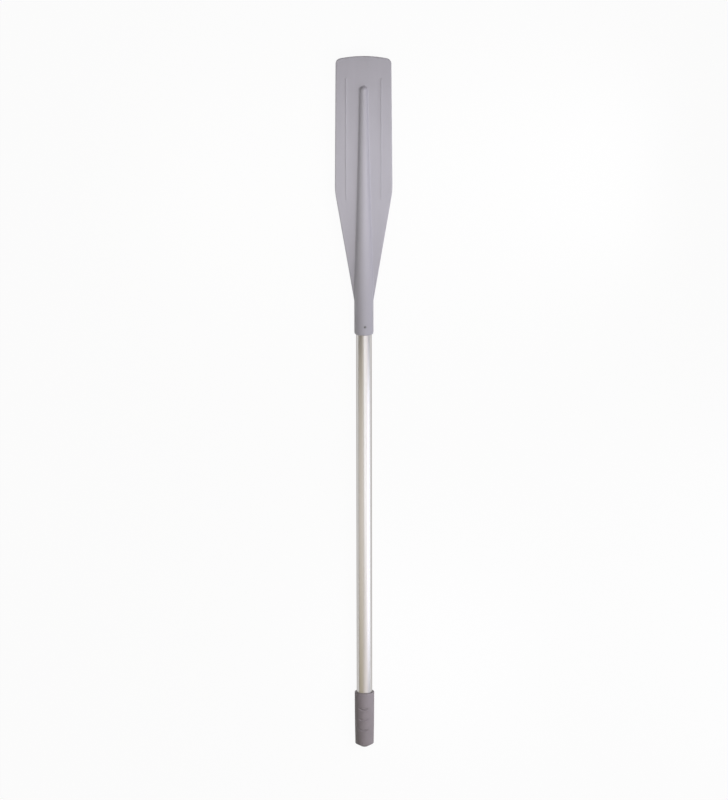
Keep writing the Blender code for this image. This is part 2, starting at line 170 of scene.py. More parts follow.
class OarRivetSettings(bpy.types.PropertyGroup):
    """Sizes and colours of the blind rivet."""

    from_mouth: length("From Mouth", "From the socket's mouth to the rivet", 0.0223)
    turn: angle("Turn", "Angle off the middle of the front face", 8.0)
    recess_radius: length("Recess Radius", "Radius of the recess round the rivet", 0.0035)
    recess_depth: length("Recess Depth", "Depth of the recess", 0.0016)
    flange_radius: length("Flange Radius", "Radius of the rivet's flange", 0.0032)
    flange_thickness: length("Flange Thickness", "Height of the flange's dome", 0.0010)
    shank_radius: length("Shank Radius", "Radius of the rivet's shank", 0.0016)
    bulge_radius: length("Bulge Radius", "Radius of the set end inside the tube", 0.0026)
    bulge_length: length("Bulge Length", "Length of the set end", 0.0030)
    mandrel_radius: length("Mandrel Radius", "Radius of the mandrel's stem", 0.0007)
    head_radius: length("Head Radius", "Radius of the mandrel's head", 0.0013)
    slip: length("Slip", "Clearance round the rivet", 0.0003)
    body_metal: colour("Body Metal", "Weathered aluminium of the rivet's body", "8E8E90")
    mandrel_metal: colour("Mandrel Metal", "Dull steel of the mandrel", "75726F")


class OarStudioSettings(bpy.types.PropertyGroup):
    """Camera, floor and light."""

    distance: length("Camera Distance", "From the camera to the middle of the oar", 12.0)
    tilt: angle("Camera Tilt", "Camera's lean towards the blade's end", 13.4)
    roll: angle("Camera Roll", "Turn of the picture about its middle", 0.09)
    aim: length("Camera Aim", "Point that the camera looks at, towards the blade", 0.0176)
    lens: number("Focal Length", "Focal length of the camera", 212.74, unit='CAMERA')
    floor: colour("Floor", "Colour of the paper floor", "DADADA")
    whitening: share("Whitening", "How far the paper is whitened for the camera", 0.95)
    plug: colour("Plug", "Moulded polyethylene of the tube's end plugs", "3A3A3B")


# Placing and meshing

def placed(point):
    """A point about the oar's axis, in the frame."""
    across, rise, station = point
    return Vector((across, TIP_Y - station, AXIS_HEIGHT + rise))


def add_grid(bm, rows, is_ring=False, place=placed):
    """Quads between rows of points. In a ring the last point of a row joins its first."""
    made = [[bm.verts.new(place(point)) for point in row] for row in rows]
    count = len(made[0])
    for row, following in zip(made, made[1:]):
        for i in range(count if is_ring else count - 1):
            j = (i + 1) % count
            bm.faces.new((row[i], row[j], following[j], following[i]))


def turns_of(sides):
    """Even turns about an axis, one for each side."""
    return [2 * math.pi * i / sides for i in range(sides)]


def about_axis(radius, turn, station):
    """A point at a radius, turned about the axis from straight up."""
    return (radius * math.sin(turn), radius * math.cos(turn), station)


def turned(profile, sides):
    """Rows of points from (radius, station) pairs turned about the axis."""
    return [[about_axis(radius, turn, station) for turn in turns_of(sides)]
            for radius, station in profile]


def arc(centre, radius, start, end, steps):
    """Points round a circle from one angle to another, both ends included."""
    angles = [start + (end - start) * i / steps for i in range(steps + 1)]
    return [(centre[0] + radius * math.cos(a), centre[1] + radius * math.sin(a)) for a in angles]


def rounded_corner(before, corner, after, radius, steps):
    """The arc that replaces a corner between two straight lines, tangent to both."""
    to_before = math.atan2(before[1] - corner[1], before[0] - corner[0])
    to_after = math.atan2(after[1] - corner[1], after[0] - corner[0])
    opening = (to_after - to_before + math.pi) % (2 * math.pi) - math.pi
    middle = to_before + opening / 2
    reach = radius / math.sin(abs(opening) / 2)
    centre = (corner[0] + reach * math.cos(middle), corner[1] + reach * math.sin(middle))
    side = math.copysign(RIGHT_ANGLE, opening)
    return arc(centre, radius, to_before - side, to_before + opening - 3 * side, steps)


def spread(start, end, count):
    """Evenly spaced values after start, up to end."""
    return [start + (end - start) * i / count for i in range(1, count + 1)]


def weld(bm):
    """Join points that meet, drop faces without area and turn every face outwards."""
    bmesh.ops.remove_doubles(bm, verts=bm.verts, dist=WELD)
    bmesh.ops.dissolve_degenerate(bm, edges=bm.edges, dist=WELD / 2)
    bmesh.ops.recalc_face_normals(bm, faces=bm.faces)


def linked(name, data):
    """A scene object that holds the data."""
    obj = bpy.data.objects.new(name, data)
    bpy.context.scene.collection.objects.link(obj)
    return obj


def new_object(name, bm):
    """A scene object with the welded mesh."""
    weld(bm)
    mesh = bpy.data.meshes.new(name)
    bm.to_mesh(mesh)
    bm.free()
    return linked(name, mesh)


def cut_away(obj, cutters):
    """Cut each cutter out of the object for good, and delete the cutters."""
    for cutter in cutters:
        cut = obj.modifiers.new(cutter.name, 'BOOLEAN')
        cut.operation = 'DIFFERENCE'
        cut.solver = 'EXACT'
        cut.object = cutter
    bpy.context.view_layer.update()
    depsgraph = bpy.context.evaluated_depsgraph_get()
    mesh = bpy.data.meshes.new_from_object(obj.evaluated_get(depsgraph))
    obj.modifiers.clear()
    obj.data = mesh
    for cutter in cutters:
        bpy.data.objects.remove(cutter)


def stand_for(obj, node, material):
    """Finish a piece that stands for one solid of the frame."""
    obj.data.shade_smooth()
    obj.data.set_sharp_from_angle(angle=SHARP_ANGLE)
    obj.data.materials.clear()
    obj.data.materials.append(material)
    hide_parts(node)
    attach(obj, BODY)


def values_of(settings):
    """The settings as plain numbers, quick to read in loops."""
    return SimpleNamespace(**{name: getattr(settings, name) for name in settings.__annotations__})


# Material nodes

def add_node(tree, kind, settings=None, inputs=None):
    """Add one node with its own options, and with values or other nodes' outputs as inputs."""
    node = tree.nodes.new(kind)
    for name, value in (settings or {}).items():
        setattr(node, name, value)
    for name, value in (inputs or {}).items():
        if isinstance(value, bpy.types.NodeSocket):
            tree.links.new(value, node.inputs[name])
        else:
            node.inputs[name].default_value = value
    return node


def new_material(name, constants):
    """A material and its node tree. The constants go on the shader's own sockets."""
    material = bpy.data.materials.new(name)
    material.use_nodes = True
    tree = material.node_tree
    for socket, value in constants.items():
        tree.nodes["Principled BSDF"].inputs[socket].default_value = value
    return material, tree


def finished(material, base, roughness, normal):
    """The material, with what changes over the surface linked to its shader."""
    tree = material.node_tree
    for socket, output in (("Base Color", base), ("Roughness", roughness), ("Normal", normal)):
        tree.links.new(output, tree.nodes["Principled BSDF"].inputs[socket])
    return material


def grain(tree, size, stretch=(1.0, 1.0, 1.0), detail=3.0):
    """Noise in the piece's own coordinates, with features of a size in millimetres.

    The stretch says how many times longer than that a feature is along each axis.
    """
    place = add_node(tree, "ShaderNodeTexCoord")
    scale = tuple(1.0 / (size * MILLIMETRE * times) for times in stretch)
    mapping = add_node(tree, "ShaderNodeMapping",
                       inputs={"Vector": place.outputs["Object"], "Scale": scale})
    return add_node(tree, "ShaderNodeTexNoise",
                    inputs={"Vector": mapping.outputs["Vector"], "Scale": 1.0,
                            "Detail": detail}).outputs["Fac"]


def ranged(tree, value, low, high, start=0.3, end=0.7):
    """A texture's value stretched to run from low to high."""
    return add_node(tree, "ShaderNodeMapRange",
                    inputs={"Value": value, "From Min": start, "From Max": end,
                            "To Min": low, "To Max": high}).outputs["Result"]


def tinted(tree, base, value, change):
    """The base colour made lighter and darker by a texture, by a share of itself."""
    level = ranged(tree, value, 1.0 - change, 1.0 + change)
    scaled = add_node(tree, "ShaderNodeVectorMath", {"operation": 'SCALE'},
                      {0: tuple(base[:3]), "Scale": level})
    return scaled.outputs["Vector"]


def raised(tree, value, height):
    """Bump from a texture, with its full height in millimetres."""
    inputs = {"Height": value, "Distance": height * MILLIMETRE, "Strength": 1.0}
    return add_node(tree, "ShaderNodeBump", inputs=inputs).outputs["Normal"]


def moulded_polypropylene(base):
    """Spark-eroded mould: an even satin skin, faint flow marks along the blade, no clear gloss."""
    material, tree = new_material("moulded_polypropylene", {"IOR": 1.49})
    flow = grain(tree, size=18.0, stretch=(1.0, 6.0, 1.0))
    # Eroded pits are about 0.15 mm wide; they are drawn at 0.7 mm so that they show
    pits = grain(tree, size=0.7, detail=2.0)
    skin = grain(tree, size=45.0)
    return finished(material, tinted(tree, base, flow, change=0.02),
                    ranged(tree, skin, low=0.42, high=0.50), raised(tree, pits, height=0.02))


def anodised_aluminium(base, roughness):
    """Drawn tube, etched and anodised: fine die lines along it and a soft milky reflection."""
    material, tree = new_material(
        "drawn_anodised_aluminium", {"Metallic": 1.0, "Specular Tint": linear("C0BCB8")})
    # Die lines are about 0.1 mm apart; they are drawn at 0.5 mm so that they show
    lines = grain(tree, size=0.5, stretch=(1.0, 700.0, 1.0))
    film = grain(tree, size=30.0, stretch=(1.0, 5.0, 1.0))
    return finished(material, tinted(tree, base, film, change=0.015),
                    ranged(tree, lines, roughness - 0.03, roughness + 0.03),
                    raised(tree, lines, height=0.004))


def moulded_vinyl(base):
    """Soft PVC from a textured mould: matt and slightly leathery, paler where it is rubbed."""
    material, tree = new_material("moulded_soft_vinyl", {"IOR": 1.53})
    # The leathery cells are about 0.4 mm across; they are drawn at 0.9 mm so that they show
    cells = grain(tree, size=0.9, detail=2.0)
    rubbed = grain(tree, size=14.0)
    return finished(material, tinted(tree, base, rubbed, change=0.04),
                    ranged(tree, rubbed, low=0.52, high=0.64), raised(tree, cells, height=0.06))


def weathered_metal(name, base, roughness):
    """Small cold-headed metal part, dulled outdoors: blotchy, with a soft uneven reflection."""
    material, tree = new_material(name, {"Metallic": 1.0})
    blotches = grain(tree, size=0.8)
    return finished(material, tinted(tree, base, blotches, change=0.12),
                    ranged(tree, blotches, roughness - 0.08, roughness + 0.08),
                    raised(tree, blotches, height=0.01))


def moulded_polyethylene(base):
    """Injection moulded and waxy: dark, smooth and faintly uneven."""
    material, tree = new_material("moulded_polyethylene", {"IOR": 1.51})
    waxy = grain(tree, size=3.0)
    return finished(material, tinted(tree, base, waxy, change=0.06),
                    ranged(tree, waxy, low=0.45, high=0.55), raised(tree, waxy, height=0.02))


def calculated(tree, operation, first, second=0.0):
    """One sum on two values or outputs."""
    return add_node(tree, "ShaderNodeMath", {"operation": operation},
                    {0: first, 1: second}).outputs[0]


def whitened(tree, amount, plain, white):
    """The plain shader, mixed with a white one for what the camera, metal and glass see."""
    ray = add_node(tree, "ShaderNodeLightPath").outputs
    seen = calculated(tree, 'MAXIMUM', ray["Is Camera Ray"], ray["Is Glossy Ray"])
    seen = calculated(tree, 'MAXIMUM', seen, ray["Is Transmission Ray"])
    share_seen = calculated(tree, 'MULTIPLY', seen, amount)
    return add_node(tree, "ShaderNodeMixShader",
                    inputs={0: share_seen, 1: plain, 2: white}).outputs[0]


def matt_paper(base, whitening):
    """Pale matt paper that the camera, metal and glass see nearly white, with a faint shadow."""
    material, tree = new_material("matt_paper", {"Roughness": 0.9, "IOR": 1.45})
    fibres = grain(tree, size=4.0)
    shader = tree.nodes["Principled BSDF"]
    tree.links.new(tinted(tree, base, fibres, change=0.004), shader.inputs["Base Color"])
    white = add_node(tree, "ShaderNodeEmission", inputs={"Strength": 1.0}).outputs[0]
    tree.links.new(whitened(tree, whitening, shader.outputs[0], white),
                   tree.nodes["Material Output"].inputs["Surface"])
    return material


# Blade

class BladeShape:
    """One quarter of the blade: across and rise both positive. Mirrored twice, it is the blade."""

    TIP_ROW = 0.050  # station where the tip's bent rows have become straight
    RUN_OUT = 0.040  # before the socket, where the web runs out into its side
    LEAST_FREE_WEB = 1.5  # times the foot fillet; on a narrower web the fillet shrinks
    PARTING_WIDTH = 0.00015
    PARTING_HEIGHT = 0.00006
    RIM_STEPS = 6
    FILLET_STEPS = 6
    CROWN_STEPS = 16
    MOUTH_STEPS = 8
    CORE_END_STEPS = 6
    MIDDLE_COLUMNS = 4  # in front of the spine's nose
    INNER_COLUMNS = 3  # between the spine and a bead
    CORNER_COLUMNS = 5
    OUTER_COLUMNS = 3  # between a bead and the tip's corner
    CORNER_ROWS = 4  # between the tip's corner and the first straight row
    NOSE_ROWS = 4  # between the bead's round end and the spine's nose
    BEAD_END_ROWS = (1.0, 0.5, 0.15, 0.0)  # half widths in from the bead's end
    # Share of the half width off the bead's middle, and share of its height there
    BEAD_SIDE = ((0.32, 0.93), (0.58, 0.68), (0.74, 0.30), (0.86, 0.06), (1.0, 0.0))
    BEAD_PROFILE = (*((-place, level) for place, level in reversed(BEAD_SIDE)), (0.0, 1.0),
                    *BEAD_SIDE)

    def __init__(self, settings, rivet_from_mouth):
        b = self.b = settings
        self.rivet = b.blade_length - rivet_from_mouth
        self.half_web = b.web_thickness / 2
        self.taper_end = b.blade_length - b.socket_length
        self.nose = b.nose_station + b.nose_radius
        corner_across = b.tip_width / 2 - b.corner_radius
        reach = b.crown_radius - b.corner_radius
        self.corner = (corner_across, b.crown_radius - math.sqrt(reach ** 2 - corner_across ** 2))
        self.join = math.asin(corner_across / reach)
        half = b.shoulder_width / 2
        self.widening = math.atan2(half - b.tip_width / 2, b.shoulder_station - self.corner[1])
        self.narrowing = math.atan2(half - b.socket_radius, self.taper_end - b.shoulder_station)
        tangent = b.shoulder_radius * math.tan((self.widening + self.narrowing) / 2)
        self.shoulder = (
            half - tangent * math.sin(self.widening)
            - b.shoulder_radius * math.cos(self.widening),
            b.shoulder_station - tangent * math.cos(self.widening)
            + b.shoulder_radius * math.sin(self.widening))
        # (outward, rise) pairs from the parting line up to the edge of the flat
        self.rim = [(b.edge_radius + self.PARTING_HEIGHT, 0.0),
                    (b.edge_radius, self.PARTING_WIDTH)]
        self.rim += arc((0.0, self.half_web - b.edge_radius), b.edge_radius, 0.0, RIGHT_ANGLE,
                        self.RIM_STEPS)

    def side(self, station):
        """The point where the flat ends at a station, and the direction straight out of it."""
        radius = self.b.shoulder_radius - self.b.edge_radius
        across, middle = self.shoulder
        lean = (station - middle) / radius
        lean = math.asin(max(-math.sin(self.widening), min(math.sin(self.narrowing), lean)))
        past = station - middle - radius * math.sin(lean)
        edge = across + radius * math.cos(lean) - past * math.tan(lean)
        return (edge, station), (math.cos(lean), math.sin(lean))

    def edge(self, station):
        """How far across the flat ends at a station."""
        return self.side(station)[0][0]

    def spine_radius(self, station):
        """A long cone from the nose to the socket, very slightly hollowed halfway along."""
        part = min(max((station - self.nose) / (self.taper_end - self.nose), 0.0), 1.0)
        straight = self.b.nose_radius + part * (self.b.socket_radius - self.b.nose_radius)
        return straight - self.b.spine_waist * 4 * part * (1 - part)

    def fillet_at(self, station):
        """The foot fillet, drawn in where the web runs out into the socket."""
        free = self.edge(station) - self.spine_radius(station)
        return max(0.0, min(self.b.foot_fillet, free / self.LEAST_FREE_WEB))

    def foot_and_crown(self, radius, fillet):
        """(out, rise) pairs from the foot of the fillet up over the spine to its crest."""
        lean = math.asin((self.half_web + fillet) / (radius + fillet))
        centre = ((radius + fillet) * math.cos(lean), self.half_web + fillet)
        foot = arc(centre, fillet, 3 * RIGHT_ANGLE, math.pi + lean, self.FILLET_STEPS)
        return foot + arc((0.0, 0.0), radius, lean, RIGHT_ANGLE, self.CROWN_STEPS)[1:]

    def foot(self, radius, fillet):
        """How far out the foot of the fillet lies."""
        return self.foot_and_crown(radius, fillet)[0][0]

    def bead_rise(self, level, station):
        """Height of one level of a bead's profile at a station, with rounded ends."""
        b = self.b
        inside = min(station - b.bead_start, b.bead_end - station)
        if inside <= 0.0:
            return 0.0
        run = b.bead_width / 2
        end = 1.0 - max(0.0, 1.0 - inside / run) ** 2
        return b.bead_height * level * math.sqrt(end)

    def flat_columns(self, station):
        """(across, rise) pairs over the flat, from its edge in to the foot of the spine."""
        b = self.b
        edge = self.edge(station)
        if station < self.nose:
            foot = self.foot(b.nose_radius, b.foot_fillet)
        else:
            foot = self.foot(self.spine_radius(station), self.fillet_at(station))
        middle = b.bead_spacing / 2
        half = b.bead_width / 2
        if station > b.bead_end:
            foot_at_end = self.foot(self.spine_radius(b.bead_end), b.foot_fillet)
            flat_at_end = self.edge(b.bead_end) - foot_at_end
            flat = max(0.0, edge - foot)
            middle = foot + (middle - foot_at_end) / flat_at_end * flat
            half *= flat / flat_at_end
        outer = self.OUTER_COLUMNS + self.CORNER_COLUMNS
        points = [(edge, 0.0)]
        points += [(across, 0.0) for across in spread(edge, middle + half, outer)[:-1]]
        points += [(middle - half * place, self.bead_rise(level, station))
                   for place, level in self.BEAD_PROFILE]
        points += [(across, 0.0) for across in spread(middle - half, foot, self.INNER_COLUMNS)]
        return [(max(across, foot), self.half_web + rise) for across, rise in points]

    def section(self, station):
        """One row over the quarter, from the parting line to the spine's crest."""
        row = self.rim_row(*self.side(station))
        row += [(across, rise, station) for across, rise in self.flat_columns(station)[1:-1]]
        radius = self.spine_radius(station)
        row += [(across, rise, station)
                for across, rise in self.foot_and_crown(radius, self.fillet_at(station))]
        near_root = self.edge(station) < radius + self.b.foot_fillet
        return self.outside_spine(row) if near_root else row

    def outside_spine(self, row):
        """Move what would sink into the spine out to its surface, kept in order round it."""
        kept = []
        turn = 0.0
        for across, rise, station in row:
            turn = max(turn, math.atan2(rise, across))
            proud = 0.0 if kept else self.PARTING_HEIGHT
            reach = max(math.hypot(across, rise), self.spine_radius(station) + proud)
            kept.append((reach * math.cos(turn), reach * math.sin(turn), station))
        return kept

    def stations(self):
        """Stations of the rows from the spine's nose to where the mouth's rounding starts."""
        b = self.b
        half = b.bead_width / 2
        middle = self.shoulder[1]
        arc_start = middle - b.shoulder_radius * math.sin(self.widening)
        arc_end = middle + b.shoulder_radius * math.sin(self.narrowing)
        rows = [self.nose]
        # Each landmark comes with the number of rows from the last one up to it
        for landmark, count in ((arc_start, 14), (arc_end, 8)):
            rows += spread(rows[-1], landmark, count)
        rows += [b.bead_end - part * half for part in self.BEAD_END_ROWS]
        for landmark, count in ((self.taper_end - self.RUN_OUT, 16), (self.taper_end, 16),
                                (self.rivet - RIVET_MARGIN, 6), (self.rivet + RIVET_MARGIN, 6),
                                (b.blade_length - b.mouth_round, 3)):
            rows += spread(rows[-1], landmark, count)
        return rows

    def side_rows(self):
        """Stations of the straight rows between the tip and the spine's nose."""
        half = self.b.bead_width / 2
        bead = [self.b.bead_start + part * half for part in reversed(self.BEAD_END_ROWS)]
        return [self.TIP_ROW] + bead + spread(bead[-1], self.nose, self.NOSE_ROWS)

    def tip_border(self):
        """The flat's edge round the tip as (point, outward): along the crown, then the side."""
        b = self.b
        crown = b.crown_radius - b.edge_radius
        corner = b.corner_radius - b.edge_radius
        straight = [across for across, rise in reversed(self.flat_columns(self.TIP_ROW))][1:]
        middle = [straight[0] * i / self.MIDDLE_COLUMNS for i in range(self.MIDDLE_COLUMNS)]
        columns = middle + straight
        on_crown = columns[:-self.CORNER_COLUMNS - self.OUTER_COLUMNS]
        on_crown += spread(on_crown[-1], crown * math.sin(self.join), self.OUTER_COLUMNS)
        half_way = (self.join + RIGHT_ANGLE) / 2
        top = self.round_edge((0.0, b.crown_radius), crown,
                              [math.asin(across / crown) for across in on_crown])
        top += self.round_edge(self.corner, corner,
                               spread(self.join, half_way, self.CORNER_COLUMNS))
        side = top[-1:] + self.round_edge(self.corner, corner,
                                          spread(half_way, RIGHT_ANGLE, self.CORNER_COLUMNS))
        side += map(self.side, spread(self.corner[1], self.TIP_ROW, self.CORNER_ROWS))
        return columns, top, side

    @staticmethod
    def round_edge(centre, radius, leans):
        """Points of an edge round a circle, each with the direction straight out of it."""
        outward = [(math.sin(lean), -math.cos(lean)) for lean in leans]
        return [((centre[0] + radius * out[0], centre[1] + radius * out[1]), out)
                for out in outward]

    def rim_row(self, point, out):
        """The rim at one point of the flat's edge, from the parting line up."""
        across, station = point
        return [(across + out[0] * reach, rise, station + out[1] * reach)
                for reach, rise in self.rim]

    def tip_patches(self):
        """The web in front of the straight rows: the flat between its borders, and the rim."""
        columns, top, side = self.tip_border()
        widest = columns[-1]
        corner_across, corner_station = side[0][0]
        rows = []
        for (edge, station), out in side:
            part = (station - corner_station) / (self.TIP_ROW - corner_station)
            bulge = edge - (1 - part) * corner_across - part * widest
            rows.append([((1 - part) * point[0] + part * across + bulge * across / widest,
                          self.half_web, (1 - part) * point[1] + part * self.TIP_ROW)
                         for across, (point, out) in zip(columns, top)])
        rim = [self.rim_row(point, out) for point, out in top + side[1:]]
        return [rows, rim]

    def nose_patches(self):
        """The web round the spine's nose, the fillet and ball of the nose, and the side rows."""
        b = self.b
        stations = self.side_rows()
        flat = [self.flat_columns(station) for station in stations]
        side = [[(across, rise, station) for across, rise in row[:-1]]
                for row, station in zip(flat, stations)]
        rim = [self.rim_row(*self.side(station)) for station in stations]
        inner = flat[0][-2][0]
        front = [(inner * i / self.MIDDLE_COLUMNS, self.TIP_ROW)
                 for i in reversed(range(self.MIDDLE_COLUMNS))]
        border = [(inner, station) for station in reversed(stations)] + front
        profile = self.foot_and_crown(b.nose_radius, b.foot_fillet)
        ball = []
        for i in range(len(border)):
            turn = RIGHT_ANGLE * i / (len(border) - 1)
            ball.append([(out * math.cos(turn), rise, self.nose - out * math.sin(turn))
                         for out, rise in profile])
        web = [[(across, self.half_web, station), row[0]]
               for (across, station), row in zip(border, ball)]
        return [side, rim, web, ball]

    def inside_rows(self, last):
        """Rows from the mouth's rounding in through the bore and the hollow core to its end."""
        b = self.b
        turns = [math.atan2(across, rise) for across, rise, station in last]
        lip = b.bore_radius + b.mouth_lip
        thickness = b.socket_radius - lip
        start = b.blade_length - b.mouth_round
        profile = [(lip + thickness * math.cos(a), start + b.mouth_round * math.sin(a))
                   for a in spread(0.0, RIGHT_ANGLE, self.MOUTH_STEPS)]
        bore_end = b.blade_length - b.bore_depth
        core = self.spine_radius(bore_end) - b.spine_wall
        profile += [(b.bore_radius, b.blade_length), (b.bore_radius, bore_end), (core, bore_end)]
        profile += arc((0.0, self.nose), b.nose_radius - b.spine_wall, 0.0, -RIGHT_ANGLE,
                       self.CORE_END_STEPS)
        return [last] + [[about_axis(radius, turn, station) for turn in turns]
                         for radius, station in profile]

    def build(self):
        """The whole blade: the quarter's patches, welded and mirrored twice."""
        bm = bmesh.new()
        rows = [self.section(station) for station in self.stations()]
        patches = [rows, self.inside_rows(rows[-1])] + self.tip_patches() + self.nose_patches()
        for patch in patches:
            add_grid(bm, patch)
        weld(bm)
        for axis, centre in (('X', 0.0), ('Z', AXIS_HEIGHT)):
            matrix = Matrix.Translation((0.0, 0.0, -centre))
            bmesh.ops.mirror(bm, geom=bm.verts[:] + bm.edges[:] + bm.faces[:], matrix=matrix,
                             merge_dist=WELD, axis=axis)
        return bm


class OAR_OT_blade(bpy.types.Operator):
    """Build the blade moulding with its web, spine, beads and socket"""

    bl_idname = "oar.build_blade"
    bl_label = "Blade"

    def execute(self, context):
        blade = values_of(context.scene.oar_blade)
        rivet = values_of(context.scene.oar_rivet)
        obj = new_object("blade_moulding", BladeShape(blade, rivet.from_mouth).build())
        above = blade.socket_radius + CUT_OVERRUN
        recess = rivet_cutter("recess", rivet.recess_radius,
                              blade.socket_radius - rivet.recess_depth, above, blade, rivet)
        hole = rivet_cutter("hole", rivet.shank_radius + rivet.slip,
                            blade.bore_radius - CUT_OVERRUN, above, blade, rivet)
        cut_away(obj, [recess, hole])
        stand_for(obj, "blade", moulded_polypropylene(blade.plastic))
        return {'FINISHED'}


# Rivet

RIVET_SIDES = 48


def rivet_turned(name, profile, blade, rivet):
    """An object turned about the rivet's own axis from (radius, height above the oar's axis)."""
    middle = placed((0.0, 0.0, blade.blade_length - rivet.from_mouth))
    matrix = Matrix.Translation(middle) @ Matrix.Rotation(rivet.turn, 4, 'Y')
    bm = bmesh.new()
    add_grid(bm, turned(profile, RIVET_SIDES), is_ring=True,
             place=lambda point: matrix @ Vector(point))
    return new_object(name, bm)


def rivet_cutter(name, radius, low, high, blade, rivet):
    """A plain cylinder about the rivet's own axis, to be cut away."""
    return rivet_turned(name, [(0.0, low), (radius, low), (radius, high), (0.0, high)],
                        blade, rivet)


class OAR_OT_rivet(bpy.types.Operator):
    """Build the blind rivet: its set body and the mandrel left in it"""

    bl_idname = "oar.build_rivet"
    bl_label = "Rivet"

    DOME_START = math.radians(25)
    DOME_END = math.radians(84)
    DOME_STEPS = 7
    BULGE_STEPS = 10
    # Shares of the mandrel's radius, where its stem broke off
    BREAK_DEPTH = 0.2
    BREAK_WIDTH = 0.8
    # Shares of its head's radius, down from the head's top
    HEAD_TAPER = 1.6
    HEAD_END = 1.8

    def execute(self, context):
        blade = context.scene.oar_blade
        tube = context.scene.oar_tube
        r = values_of(context.scene.oar_rivet)
        seat = blade.socket_radius - r.recess_depth + r.slip
        top = seat + r.flange_thickness
        hollow = r.mandrel_radius + r.slip
        inner = tube.radius - tube.wall
        bulge_top = math.sqrt(inner ** 2 - r.bulge_radius ** 2) - r.slip
        bulge_end = bulge_top - r.bulge_length
        dome = [(r.flange_radius * math.sin(a), seat + r.flange_thickness * math.cos(a))
                for a in spread(self.DOME_START, self.DOME_END, self.DOME_STEPS)]
        bulge = [(r.shank_radius + (r.bulge_radius - r.shank_radius) * math.sin(a),
                  bulge_top - r.bulge_length * a / math.pi)
                 for a in spread(0.0, math.pi, self.BULGE_STEPS)]
        body = [(hollow, top), *dome, (r.flange_radius, seat), (r.shank_radius, seat),
                (r.shank_radius, bulge_top), *bulge, (hollow, bulge_end), (hollow, top)]
        obj = rivet_turned("rivet_head_and_shank", body, blade, r)
        metal = weathered_metal("weathered_aluminium", r.body_metal, 0.40)
        stand_for(obj, "rivet_body", metal)
        head = bulge_end - r.slip
        broken = seat - self.BREAK_DEPTH * r.mandrel_radius
        stem = [(0.0, broken), (self.BREAK_WIDTH * r.mandrel_radius, seat),
                (r.mandrel_radius, broken), (r.mandrel_radius, head), (r.head_radius, head),
                (r.head_radius, head - r.head_radius),
                (r.mandrel_radius, head - self.HEAD_TAPER * r.head_radius),
                (0.0, head - self.HEAD_END * r.head_radius)]
        obj = rivet_turned("mandrel_stub", stem, blade, r)
        metal = weathered_metal("dull_drawn_steel", r.mandrel_metal, 0.45)
        stand_for(obj, "rivet_mandrel", metal)
        return {'FINISHED'}


# Tube and plugs

class OAR_OT_tube(bpy.types.Operator):
    """Build the drawn tube with its rivet hole, and finish its end plugs"""

    bl_idname = "oar.build_tube"
    bl_label = "Tube and Plugs"

    SIDES = 144

    def execute(self, context):
        t = values_of(context.scene.oar_tube)
        blade = context.scene.oar_blade
        rivet = values_of(context.scene.oar_rivet)
        start = TIP_Y - TUBE_HIGH.y
        end = TIP_Y - TUBE_LOW.y
        inner = t.radius - t.wall
        hole = blade.blade_length - rivet.from_mouth
        near = (hole - RIVET_MARGIN, hole + RIVET_MARGIN)
        outside = [(t.radius, station)
                   for station in (start + t.edge_break, *near, end - t.edge_break)]
        inside = [(inner, station) for station in (end, *reversed(near), start)]
        first = [(t.radius - t.edge_break, start)]
        last = [(t.radius - t.edge_break, end)]
        bm = bmesh.new()
        add_grid(bm, turned(first + outside + last + inside + first, self.SIDES), is_ring=True)
        obj = new_object("drawn_tube", bm)
        cutter = rivet_cutter("tube_hole", rivet.shank_radius + rivet.slip, inner - CUT_OVERRUN,
                              t.radius + CUT_OVERRUN, blade, rivet)
        cut_away(obj, [cutter])
        metal = anodised_aluminium(t.metal, t.roughness)
        stand_for(obj, "shaft_tube", metal)
        plastic = moulded_polyethylene(context.scene.oar_studio.plug)
        for name in ("blade_end_plug", "grip_end_plug"):
            for material_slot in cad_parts[name].material_slots:
                material_slot.material = plastic
        return {'FINISHED'}


# Grip

